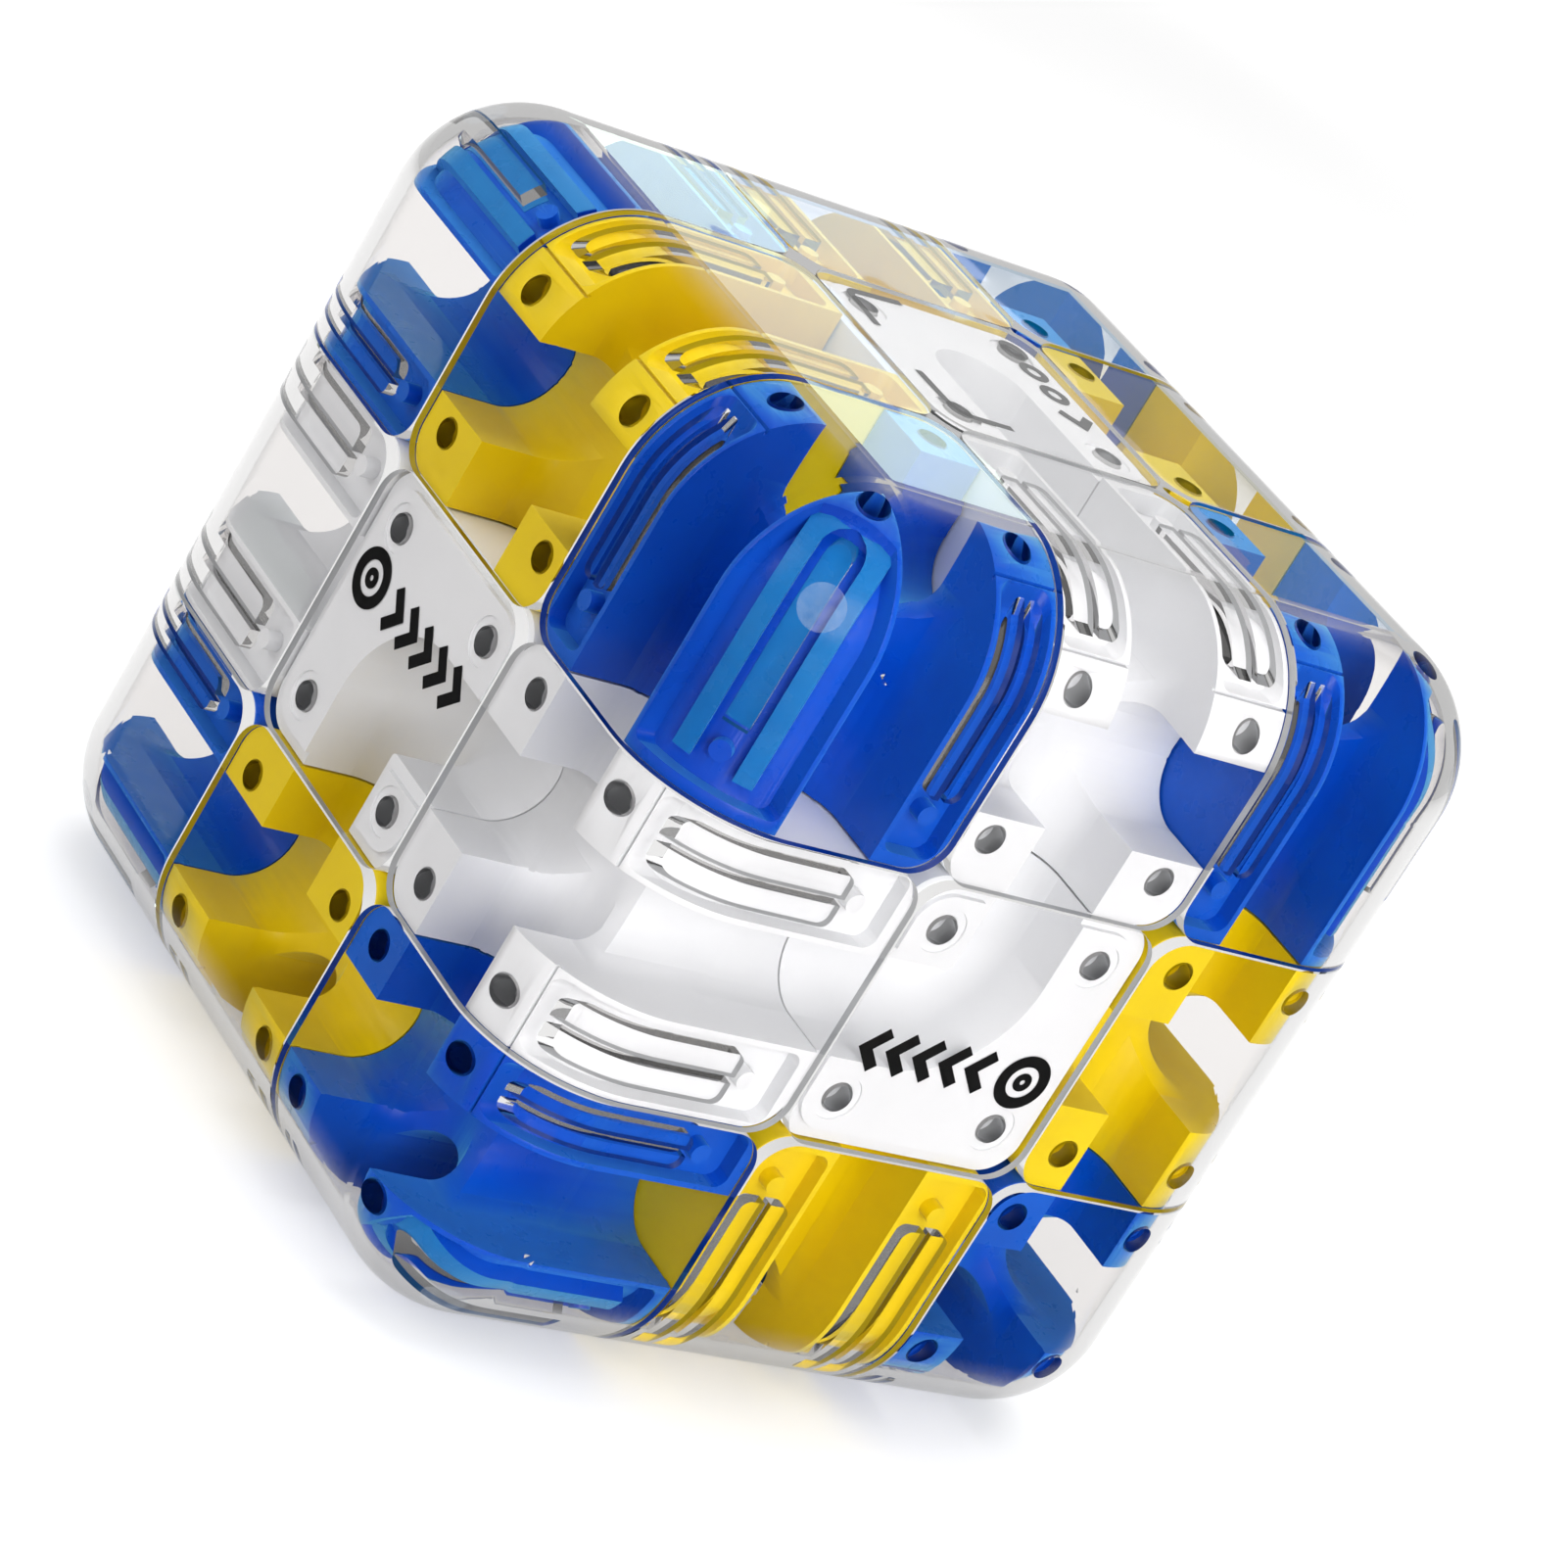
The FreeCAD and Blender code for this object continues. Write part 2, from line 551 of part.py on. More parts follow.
def core():
    """Core: ball with six arms, bored for the screws."""
    origin = ("0", "0", "0")
    reach = "hub_bottom-arm_gap"
    arms = [ball_shape("CoreBall", origin, "core_radius")]
    bores = []
    for axis in AXES:
        for sign in ("", "-"):
            name = axis.upper() + ("Plus" if sign == "" else "Minus")
            start = "0" if sign == "" else f"-({reach})"
            arms.append(bar("Arm" + name, axis, along(axis, start), reach, "arm_radius"))
            bore_start = "screw_tip-screw_tip_gap" if sign == "" else f"-({reach})"
            bores.append(bar("Bore" + name, axis, along(axis, bore_start), f"{reach}-screw_tip+screw_tip_gap",
                             "screw_radius+screw_fit"))
    return cut("Core", fuse("CoreArms", *arms), fuse("CoreBores", *bores))


def axes_placement(x_axis, y_axis, z_axis):
    """Rotation about the origin that sends the master's axes to the given ones."""
    matrix = FreeCAD.Matrix()
    for column, axis in enumerate((x_axis, y_axis, z_axis), start=1):
        for row, value in enumerate(axis, start=1):
            setattr(matrix, f"A{row}{column}", float(value))
    return FreeCAD.Placement(matrix)


def unit(index, sign):
    """Unit vector along one axis."""
    return tuple(sign if place == index else 0 for place in range(3))


def cross(first, second):
    """Vector product of two axes."""
    product = FreeCAD.Vector(*first).cross(FreeCAD.Vector(*second))
    return tuple(round(value) for value in product)


def aim(place, up):
    """Placement of a master block whose cross face points to up."""
    others = [unit(index, value) for index, value in enumerate(place)
              if value and unit(index, value) != up]
    if len(others) == 2 and cross(up, others[0]) != others[1]:
        others.reverse()
    return axes_placement(others[0], cross(up, others[0]), up)


def aim_tile(up, opening, second=None):
    """Placement of a centre tile whose channel opens towards one or two sides."""
    if second and cross(up, opening) != second:
        opening = second
    return axes_placement(opening, cross(up, opening), up)


def place_name(place):
    """Words for a block's place, such as top_front_right."""
    words = (("left", "", "right"), ("front", "", "back"), ("bottom", "", "top"))
    parts = [words[index][place[index] + 1] for index in (2, 1, 0)]
    return "_".join(part for part in parts if part)


LEFT, RIGHT = (-1, 0, 0), (1, 0, 0)
FRONT, BACK = (0, -1, 0), (0, 1, 0)
DOWN, UP = (0, 0, -1), (0, 0, 1)

# Which way the cross face of each block points
CORNERS = {
    (1, -1, 1): UP, (-1, -1, 1): LEFT, (-1, 1, 1): UP, (1, 1, 1): UP,
    (1, 1, -1): RIGHT, (1, -1, -1): FRONT, (-1, -1, -1): LEFT, (-1, 1, -1): DOWN,
}
EDGES = {
    (0, -1, 1): FRONT, (1, -1, 0): FRONT, (1, 0, 1): RIGHT, (-1, -1, 0): LEFT,
    (0, -1, -1): FRONT, (1, 1, 0): RIGHT, (1, 0, -1): DOWN, (-1, 0, 1): LEFT,
    (0, 1, 1): UP, (-1, 1, 0): LEFT, (0, 1, -1): BACK, (-1, 0, -1): DOWN,
}
# Sides that each centre tile's channel opens to
TILES = {
    UP: (RIGHT,), FRONT: (RIGHT, DOWN), RIGHT: (FRONT, UP),
    BACK: (RIGHT, UP), LEFT: (FRONT, DOWN), DOWN: (FRONT,),
}


def copy_to(label, master, placement):
    """A sub-part: one master shape put in its place."""
    part = compound(label, master)
    part.Label = label
    part.Placement = placement
    return part


def group(label, master, directions):
    """A sub-part of identical separate pieces on several core arms."""
    turns = []
    for direction in directions:
        turned = compound(label + "On", master)
        turned.Placement = FreeCAD.Placement(FreeCAD.Vector(), AXIS_TURNS[direction])
        turns.append(turned)
    part = compound(label, *turns)
    part.Label = label
    return part


def build_blocks():
    """All tracks and covers."""
    shells = envelopes()
    round_cuts = spheres()
    cells = {"corner": corner_cell(), "edge": edge_cell(), "centre": centre_cell()}
    corner_masters = {
        "track": corner_track(cells["corner"], shells, round_cuts),
        "cover": cover("CornerCover", cells["corner"], shells, CORNER_PINS,
                       rail_plugs("CornerPlug", CORNER_RAILS, shells) + [bar_plug(shells)]),
    }
    edge_masters = {
        "track": edge_track(cells["edge"], shells, round_cuts),
        "cover": cover("EdgeCover", cells["edge"], shells, EDGE_PINS,
                       rail_plugs("EdgePlug", EDGE_RAILS, shells)),
    }
    blank = centre_blank(cells["centre"], shells, round_cuts)
    bend = fuse("ElbowCuts", elbow(), elbow_step())
    elbow_tile = cut("ElbowTile", blank, bend)
    end_tile = cut("EndTile", blank, dead_end())
    centre_cover = cover("CentreCover", cells["centre"], shells, CENTRE_PINS, [])
    parts = []
    for kind, places, masters in (("corner", CORNERS, corner_masters), ("edge", EDGES, edge_masters)):
        for place, up in places.items():
            for piece, master in masters.items():
                parts.append(copy_to(f"{place_name(place)}_{kind}_{piece}", master, aim(place, up)))
    for up, openings in TILES.items():
        name = place_name(up) + "_centre_"
        tile = elbow_tile if len(openings) == 2 else end_tile
        placement = aim_tile(up, *openings)
        parts.append(copy_to(name + "track", tile, placement))
        parts.append(copy_to(name + "cover", centre_cover, placement))
    return parts


def build_mechanism():
    """Core, hubs, screws, springs and the ball."""
    spider = core()
    spider.Label = "core_spider"
    cup = hub()
    marble = ball_shape("MazeBall", ("ball_x", "ball_y", "ball_z"), "ball_radius")
    marble.Label = "maze_ball"
    every = list(AXIS_TURNS)
    return [
        spider,
        group("middle_hubs", cup, every[:4]),
        group("top_hub", cup, ["z"]),
        group("bottom_hub", cup, ["-z"]),
        group("centre_screws", screw(), every),
        group("tension_springs", spring(), every),
        marble,
    ]


def check_document():
    """Stop if any object of the document failed."""
    for obj in doc.Objects:
        if "Invalid" in obj.State or "Error" in obj.State:
            raise RuntimeError(f"{obj.Label} failed: {obj.State}")


def export(parts):
    """Check every sub-part and write it to its own file."""
    for part in parts:
        if part.Shape.isNull() or not part.Shape.isValid() or not part.Shape.Solids:
            raise RuntimeError(f"{part.Label} has no valid solid")
    for part in parts:
        part.Shape.exportStep(f"parts/{part.Label}.step")


os.makedirs("parts", exist_ok=True)
make_sheet()
sub_parts = build_blocks() + build_mechanism()
doc.recompute()
check_document()
export(sub_parts)
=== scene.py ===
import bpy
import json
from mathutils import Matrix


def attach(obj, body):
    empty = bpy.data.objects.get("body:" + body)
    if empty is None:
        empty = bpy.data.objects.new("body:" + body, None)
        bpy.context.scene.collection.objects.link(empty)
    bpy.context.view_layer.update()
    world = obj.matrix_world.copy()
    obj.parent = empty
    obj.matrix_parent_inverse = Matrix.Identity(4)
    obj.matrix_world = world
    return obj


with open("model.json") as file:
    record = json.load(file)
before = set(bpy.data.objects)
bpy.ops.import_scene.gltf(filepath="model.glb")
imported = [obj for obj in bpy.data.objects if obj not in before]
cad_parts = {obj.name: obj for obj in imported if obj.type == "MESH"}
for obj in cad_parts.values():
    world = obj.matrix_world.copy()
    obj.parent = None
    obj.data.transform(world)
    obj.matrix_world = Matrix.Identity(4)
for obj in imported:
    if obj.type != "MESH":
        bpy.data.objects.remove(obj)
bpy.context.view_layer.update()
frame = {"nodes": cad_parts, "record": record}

import json
import math

import bmesh
import bpy
from mathutils import Matrix, Vector

MM = 0.001
HALF = 31.0 * MM                # centre of the cube to the outside of a cover
COVER_THICKNESS = 1.0 * MM
LAYER = 10.1                    # centre of the cube to the plane between two layers, in millimetres
EDGE_RADIUS = 9.0 * MM          # rounding of the cube's edges, outside the covers
TRACK_ROUNDING = 0.2 * MM       # softened edges of the tracks
SHARP_ANGLE = 38.0              # degrees from which an edge counts as sharp
WELD_DISTANCE = 0.001 * MM

# Camera: where it stands around the cube and how it is tilted, in degrees, and its lens in millimetres
CAMERA_AZIMUTH = 47.76
CAMERA_ELEVATION = 19.93
CAMERA_ROLL = 31.34
CAMERA_DISTANCE = 375.7 * MM
CAMERA_AIM = Vector((1.7, 1.7, -0.3)) * MM
CAMERA_LENS = 129.1
CAMERA_SENSOR = 36.0
CAMERA_CLIP = 0.01

# Studio: strength of the white surroundings, of what a cover's rim and a covered track mirror of them,
# and of the floor's glow
WORLD_LIGHT = 0.64
WORLD_RIM = 0.98
WORLD_REFLECTION = 0.3
FLOOR_GLOW = 0.35
FLOOR_REFLECTION = 0.3          # shade of the floor where a covered track mirrors it
FLOOR_REACH = 3.0
FLOOR_GAP = 0.05 * MM           # between the cube's lowest face and the floor
GLOSSY_BOUNCES = 12
CLEAR_BOUNCES = 16

# Lamps: place, size and power, and whether the cube's gloss shows them
LAMPS = {
    "key": ((-0.2, -0.7, 0.4), 0.5, 1.3, True),
    "top": ((-0.1, 0.1, 1.0), 0.6, 4.0, False),
    "side": ((1.0, -0.25, 0.3), 0.7, 5.8, True),
}

CLEAR_IOR = 1.46
CLEAR_TINT = (0.92, 0.914, 0.911)
CLEAR_ROUGHNESS = 0.015
SHEEN_POWER = 2.5             # how late the painted sheen pales a plastic as it turns away from the view
SHINE_LOST = 0.1                # an anti-glare finish takes this much off every reflection
MIRRORED_PASSES = 0.65          # share of mirrored light that passes each further surface

# Moulded plastics: deep and bright shade, painted sheen colour at glancing angles, roughness and clear coat
PLASTICS = {
    "blue_plastic": ((0.0, 0.05, 0.47), (0.0, 0.08, 0.60), (0.12, 0.55, 1.0), 0.3, 0.12),
    "yellow_plastic": ((0.80, 0.56, 0.0), (0.88, 0.65, 0.0), (0.95, 0.80, 0.15), 0.35, 0.1),
    "white_plastic": ((0.80, 0.81, 0.83), (0.85, 0.86, 0.88), (0.92, 0.93, 0.95), 0.35, 0.12),
    "core_nylon": ((0.03, 0.03, 0.03), (0.05, 0.05, 0.05), (0.08, 0.08, 0.08), 0.5, 0.0),
    # lighter blue for the bar's faces: painted sheen standing in for the reflection on the bar
    "bar_sheen_blue": ((0.0, 0.12, 0.42), (0.01, 0.18, 0.50), (0.2, 0.6, 1.0), 0.25, 0.12),
}

# Metals: colour, roughness, and grain in features per millimetre
METALS = {
    "steel": ((0.62, 0.62, 0.63), 0.3, 3.0),
    "spring_steel": ((0.5, 0.5, 0.5), 0.25, 6.0),
    "ball_steel": ((0.78, 0.78, 0.79), 0.05, 2.0),
}

X, Y, Z = Vector((1, 0, 0)), Vector((0, 1, 0)), Vector((0, 0, 1))


# Materials

class Nodes:
    """Short names for building the node tree of a material or of the world."""

    def __init__(self, owner, output):
        self.owner = owner
        self.owner.use_nodes = True
        self.tree = owner.node_tree
        self.tree.nodes.clear()
        self.output = self.add(output)

    def add(self, kind, **values):
        """A node; the values are its settings or, with _ for spaces, its inputs."""
        node = self.tree.nodes.new(kind)
        for key, value in values.items():
            label = key.replace("_", " ")
            if label in node.inputs:
                self.put(node.inputs[label], value)
            else:
                setattr(node, key, value)
        return node

    def put(self, socket, value):
        """Link another node's output to an input, or set the input's value."""
        if isinstance(value, bpy.types.NodeSocket):
            self.tree.links.new(value, socket)
        else:
            socket.default_value = value

    def place(self):
        """Object coordinates in millimetres."""
        coordinates = self.add("ShaderNodeTexCoord")
        scaled = self.add("ShaderNodeVectorMath", operation="SCALE", Scale=1 / MM)
        self.put(scaled.inputs[0], coordinates.outputs["Object"])
        return scaled.outputs[0]

    def noise(self, place, scale, detail=2.0):
        """Noise with its scale in features per millimetre."""
        return self.add("ShaderNodeTexNoise", Vector=place, Scale=scale, Detail=detail).outputs[0]

    def spread(self, value, low, high):
        """Noise, mostly between 0.3 and 0.7, spread from low to high."""
        node = self.add("ShaderNodeMapRange", Value=value, From_Min=0.3, From_Max=0.7, To_Min=low,
                        To_Max=high)
        return node.outputs[0]

    def mixed(self, factor, first, second):
        """Mix of two colours with alpha, or of other nodes' colours."""
        return self.add("ShaderNodeMixRGB", Fac=factor, Color1=first, Color2=second).outputs[0]

    def colours(self, factor, first, second):
        """Mix of two plain colours."""
        return self.mixed(factor, (*first, 1), (*second, 1))

    def bump(self, height, distance):
        """Normal from a height between 0 and 1 over a distance."""
        return self.add("ShaderNodeBump", Height=height, Distance=distance).outputs[0]

    def shaders(self, factor, first, second):
        """Mix of two shaders."""
        node = self.add("ShaderNodeMixShader")
        for socket, value in zip(node.inputs, (factor, first, second)):
            self.put(socket, value)
        return node.outputs[0]

    def math(self, operation, first, second):
        """Arithmetic on two values, kept between 0 and 1."""
        node = self.add("ShaderNodeMath", operation=operation, use_clamp=True)
        self.put(node.inputs[0], first)
        self.put(node.inputs[1], second)
        return node.outputs[0]

    def mirrored_after(self, surfaces):
        """1 for light mirrored after passing this many clear surfaces, 0 for other light."""
        path = self.add("ShaderNodeLightPath").outputs
        mirrored = self.math("GREATER_THAN", path["Glossy Depth"], 0.5)
        beyond = self.math("GREATER_THAN", path["Transmission Depth"], surfaces - 0.5)
        deeper = self.math("GREATER_THAN", path["Transmission Depth"], surfaces + 0.5)
        return self.math("MULTIPLY", mirrored, self.math("SUBTRACT", beyond, deeper))

    def switch(self, factor, low, high):
        """Low where the factor is 0 and high where it is 1."""
        return self.add("ShaderNodeMapRange", Value=factor, To_Min=low, To_Max=high).outputs[0]

    def finish(self, surface):
        """Connect the surface and return the material or the world."""
        self.put(self.output.inputs["Surface"], surface)
        return self.owner


def material_nodes(name):
    """Empty node tree of a new material."""
    return Nodes(bpy.data.materials.new(name), "ShaderNodeOutputMaterial")


def moulded_plastic(name, deep, bright, sheen_colour, roughness, coat):
    """Glossy moulded plastic: faint flow shades, a painted sheen that pales it at glancing angles, uneven
    gloss, slight waves.
    """
    nodes = material_nodes(name)
    place = nodes.place()
    flow = nodes.spread(nodes.noise(place, scale=0.12, detail=3.0), 0.0, 1.0)
    facing = nodes.add("ShaderNodeLayerWeight", Blend=0.5).outputs["Facing"]
    # painted sheen: the colour pales towards sheen_colour as the surface turns away from the view
    sheen_share = nodes.math("POWER", facing, SHEEN_POWER)
    shade = nodes.mixed(sheen_share, nodes.colours(flow, deep, bright), (*sheen_colour, 1))
    gloss = nodes.spread(nodes.noise(place, scale=0.5, detail=4.0), roughness * 0.8, roughness * 1.25)
    wave = nodes.bump(nodes.noise(place, scale=0.35), distance=0.02 * MM)
    plastic = nodes.add("ShaderNodeBsdfPrincipled", Base_Color=shade, Roughness=gloss, Normal=wave,
                        IOR=1.4, Coat_Weight=coat, Coat_Roughness=0.05)
    return nodes.finish(plastic.outputs[0])


def clear_plastic(name, tint, roughness):
    """Clear polished plastic; lamplight and light mirrored inside go straight through its surfaces."""
    nodes = material_nodes(name)
    place = nodes.place()
    smear = nodes.spread(nodes.noise(place, scale=0.3, detail=5.0), roughness * 0.4, roughness * 1.6)
    wave = nodes.bump(nodes.noise(place, scale=0.15, detail=1.0), distance=0.01 * MM)
    body = nodes.add("ShaderNodeBsdfRefraction", Color=(*tint, 1), Roughness=smear, Normal=wave,
                     IOR=CLEAR_IOR)
    shine = nodes.add("ShaderNodeBsdfAnisotropic", Color=(1, 1, 1, 1), Roughness=smear, Normal=wave)
    fresnel = nodes.add("ShaderNodeFresnel", IOR=CLEAR_IOR, Normal=wave).outputs[0]
    glass = nodes.shaders(nodes.math("SUBTRACT", fresnel, SHINE_LOST), body.outputs[0], shine.outputs[0])
    path = nodes.add("ShaderNodeLightPath").outputs
    mirrored = nodes.math("GREATER_THAN", path["Glossy Depth"], 0.5)
    shade = nodes.colours(path["Is Shadow Ray"], (MIRRORED_PASSES,) * 3, (1, 1, 1))
    through = nodes.add("ShaderNodeBsdfTransparent", Color=shade)
    straight = nodes.math("MAXIMUM", path["Is Shadow Ray"], mirrored)
    return nodes.finish(nodes.shaders(straight, glass, through.outputs[0]))


def metal(name, colour, roughness, grain):
    """Steel with a fine grain."""
    nodes = material_nodes(name)
    place = nodes.place()
    rough = nodes.spread(nodes.noise(place, grain, detail=4.0), roughness * 0.7, roughness * 1.4)
    darker = [0.85 * part for part in colour]
    shade = nodes.colours(nodes.noise(place, scale=0.8), darker, colour)
    steel = nodes.add("ShaderNodeBsdfPrincipled", Base_Color=shade, Roughness=rough, Metallic=1.0)
    return nodes.finish(steel.outputs[0])


def printed_ink(name):
    """Black printing ink, slightly uneven; it also draws the painted corner shade on the start tile."""
    nodes = material_nodes(name)
    unevenness = nodes.noise(nodes.place(), scale=2.0)
    shade = nodes.colours(unevenness, (0.002, 0.002, 0.002), (0.008, 0.008, 0.009))
    return nodes.finish(nodes.add("ShaderNodeBsdfPrincipled", Base_Color=shade, Roughness=0.5).outputs[0])


def frosted_gate(name):
    """Milky spot that a moulding's gate leaves on clear plastic."""
    nodes = material_nodes(name)
    cloud = nodes.spread(nodes.noise(nodes.place(), scale=1.5), 0.04, 0.08)
    milk = nodes.add("ShaderNodeBsdfPrincipled", Base_Color=(0.8, 0.88, 0.95, 1), Roughness=0.5)
    clear = nodes.add("ShaderNodeBsdfTransparent")
    return nodes.finish(nodes.shaders(cloud, clear.outputs[0], milk.outputs[0]))


def floor_paint(name):
    """Pale matt light table, dimmer where a covered track mirrors it and clear from below."""
    nodes = material_nodes(name)
    unevenness = nodes.noise(nodes.place(), scale=0.01)
    shade = nodes.colours(unevenness, (0.79, 0.79, 0.79), (0.81, 0.81, 0.81))
    pale = nodes.add("ShaderNodeAddShader")
    nodes.put(pale.inputs[0], nodes.add("ShaderNodeBsdfDiffuse", Color=shade).outputs[0])
    nodes.put(pale.inputs[1], nodes.add("ShaderNodeEmission", Strength=FLOOR_GLOW).outputs[0])
    dim = nodes.add("ShaderNodeBsdfDiffuse", Color=(FLOOR_REFLECTION,) * 3 + (1,))
    table = nodes.shaders(nodes.mirrored_after(2), pale.outputs[0], dim.outputs[0])
    below = nodes.add("ShaderNodeNewGeometry").outputs["Backfacing"]
    return nodes.finish(nodes.shaders(below, table, nodes.add("ShaderNodeBsdfTransparent").outputs[0]))


MATERIALS = {name: moulded_plastic(name, *values) for name, values in PLASTICS.items()}
MATERIALS.update({name: metal(name, *values) for name, values in METALS.items()})
MATERIALS["clear_cover"] = clear_plastic("clear_cover", CLEAR_TINT, CLEAR_ROUGHNESS)
MATERIALS["ink"] = printed_ink("ink")
MATERIALS["gate"] = frosted_gate("gate")


def soften(obj, width):
    """Small rounding on sharp edges, as moulded parts have."""
    weld = obj.modifiers.new("weld", "WELD")
    weld.merge_threshold = WELD_DISTANCE
    bevel = obj.modifiers.new("edges", "BEVEL")
    bevel.width = width
    bevel.segments = 2
    bevel.limit_method = "ANGLE"
    bevel.angle_limit = math.radians(SHARP_ANGLE)
    bevel.harden_normals = True


def paint_nodes():
    """Give every CAD node its finish and round the tracks' edges a little."""
    finishes = {part["node"]: part["material_slot"] for part in frame["record"]["subparts"]}
    for name, obj in frame["nodes"].items():
        for slot in obj.material_slots:
            slot.material = MATERIALS[finishes[name]]
        if name.endswith("_track"):
            soften(obj, TRACK_ROUNDING)


# Marks and details in mesh code. Paths and widths are in millimetres on the marked face

INK_THICKNESS = 0.03 * MM
INK_DEPTH = 0.05 * MM           # ink lies this far under the inner side of a cover
BADGE_CENTRE = (-6.6, 2.7)
BADGE_LINE = 0.85
CHEVRONS = 5
FIRST_CHEVRON = -3.4
CHEVRON_STEP = 2.25
START_RINGS = 3
START_RING_STEP = 2.9
START_LINE = 0.6


def new_piece(name, work, material, body):
    """An object from a bmesh, riding on a body."""
    bmesh.ops.recalc_face_normals(work, faces=work.faces)
    mesh = bpy.data.meshes.new(name)
    work.to_mesh(mesh)
    work.free()
    mesh.materials.append(material)
    obj = bpy.data.objects.new(name, mesh)
    bpy.context.scene.collection.objects.link(obj)
    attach(obj, body)
    return obj


def circle(centre, radius, count=40):
    """Points round a circle in the plane."""
    angles = [2 * math.pi * step / count for step in range(count)]
    return [(centre[0] + radius * math.cos(angle), centre[1] + radius * math.sin(angle)) for angle in angles]


def bend(first, corner, last, radius, count=8):
    """Path from first to last with a rounded corner between them."""
    points = [Vector(point) for point in (first, corner, last)]
    start = points[1] + (points[0] - points[1]).normalized() * radius
    stop = points[1] + (points[2] - points[1]).normalized() * radius
    curve = []
    for step in range(count + 1):
        share = step / count
        curve.append(start.lerp(points[1], share).lerp(points[1].lerp(stop, share), share))
    return [points[0], *curve, points[2]]


def ribbon(work, path, width, thickness, surface, closed=False):
    """Flat band along a path in millimetres on a surface given by its centre, right, up and outward axes."""
    centre, right, up, out = surface
    points = [Vector(point) for point in path]
    count = len(points)
    sections = []
    for index, point in enumerate(points):
        before = points[index - 1] if index or closed else point
        after = points[(index + 1) % count] if index < count - 1 or closed else point
        along = [step.normalized() for step in (point - before, after - point) if step.length > 0]
        sides = [Vector((-step.y, step.x)) for step in along]
        normal = sum(sides, Vector((0, 0))).normalized()
        reach = width / 2 / normal.dot(sides[0])
        corners = []
        for side, level in ((1, 0), (1, 1), (-1, 1), (-1, 0)):
            flat = (point + normal * reach * side) * MM
            corners.append(work.verts.new(centre + right * flat.x + up * flat.y + out * level * thickness))
        sections.append(corners)
    pairs = list(zip(sections, sections[1:])) + ([(sections[-1], sections[0])] if closed else [])
    for first, second in pairs:
        for index in range(4):
            following = (index + 1) % 4
            work.faces.new((first[index], first[following], second[following], second[index]))
    if not closed:
        work.faces.new(sections[0])
        work.faces.new(sections[-1])


def printed_surface(right, up):
    """The inner side of a centre cover, for the ink, with its reading directions."""
    out = right.cross(up)
    return out * (HALF - COVER_THICKNESS - INK_DEPTH), right, up, out


def print_badge(name, surface, body):
    """Generic badge on a centre tile: a ring in a ring and a row of chevrons."""
    work = bmesh.new()
    for radius, width in ((1.65, BADGE_LINE), (0.45, 0.5)):
        ribbon(work, circle(BADGE_CENTRE, radius), width, INK_THICKNESS, surface, closed=True)
    for index in range(CHEVRONS):
        left = FIRST_CHEVRON + CHEVRON_STEP * index
        chevron = [(left, 1.2), (left + 1.35, 2.6), (left, 4.0)]
        ribbon(work, chevron, BADGE_LINE, INK_THICKNESS, surface)
    new_piece(name, work, MATERIALS["ink"], body)


def print_start_and_corner_shade(name, surface, body):
    """Generic start mark on the top tile: small rings that lead to an arrowhead, and dark corner lines that
    are painted shade and edge reflection of the tile's rounded corners.
    """
    work = bmesh.new()
    for index in range(START_RINGS):
        ring = circle((-7.2 + START_RING_STEP * index, 7.1), 0.85)
        ribbon(work, ring, START_LINE, INK_THICKNESS, surface, closed=True)
    arrowhead = [(1.2, 5.8), (2.6, 7.1), (1.2, 8.4)]
    ribbon(work, arrowhead, 0.8, INK_THICKNESS, surface)
    # painted shade: dark L lines where the tile's rounded corners show shading and dark edge reflections
    left_corner_shade = bend((-9.0, -2.0), (-8.4, -7.1), (-3.8, -7.2), 1.0)
    right_corner_shade = bend((7.0, -2.2), (7.1, -7.0), (2.0, -7.2), 1.4)
    for path in (left_corner_shade, right_corner_shade):
        ribbon(work, path, START_LINE, INK_THICKNESS, surface)
    new_piece(name, work, MATERIALS["ink"], body)


# The corner blocks: each one's place, and the way its cross face points
CORNER_BLOCKS = {
    (1, -1, 1): Z, (-1, -1, 1): -X, (-1, 1, 1): Z, (1, 1, 1): Z,
    (1, 1, -1): X, (1, -1, -1): -Y, (-1, -1, -1): -X, (-1, 1, -1): -Z,
}


def corner_axes(place, up):
    """The two sideways axes of a corner block, right-handed with its up axis."""
    sides = [axis * sign for axis, sign in zip((X, Y, Z), place) if abs(axis.dot(up)) < 0.5]
    if up.cross(sides[0]).dot(sides[1]) < 0:
        sides.reverse()
    return sides


# The bar along a corner's own cube edge, its slot and the slot's floor, where the painted sheen faces lie,
# in millimetres: half widths, radii of the faces from the centre line of the edge's rounding, and heights
# over the cube's centre
BAR_HALF = 2.7
BAR_RADIUS = 7.42
BAR_HEIGHTS = (12.15, 29.0)
SLOT_HALF = 1.45
SLOT_CENTRE = 26.75
FLOOR_HALF = 0.85
FLOOR_RADIUS = 6.64
FLOOR_HEIGHTS = (15.4, 27.6)
POCKET_START = 34.95            # from the middle of the cube to the pocket's inner side
CORNER = (HALF - EDGE_RADIUS) / MM
STRIP_ROWS = 60
STRIP_COLUMNS = 5
NARROWEST = 0.02                # a strip ends where it would be narrower than this
BAR_SKIN = 0.03 * MM            # thickness that the faces get as solids

# The milky spot: its direction from the rounding's centre, along the block's two sides and up, and its
# rings with their radius and height over the cover in millimetres
GATE_DIRECTION = (5.46, 6.63, 2.68)
GATE_RINGS = ((1.5, 0.01), (1.5, 0.03), (1.0, 0.03), (0.5, 0.03))
GATE_POINTS = 32


def slot_half(height, half):
    """Half width of a slot with a rounded top at a height."""
    return math.sqrt(max(0.0, half**2 - max(0.0, height - SLOT_CENTRE) ** 2))


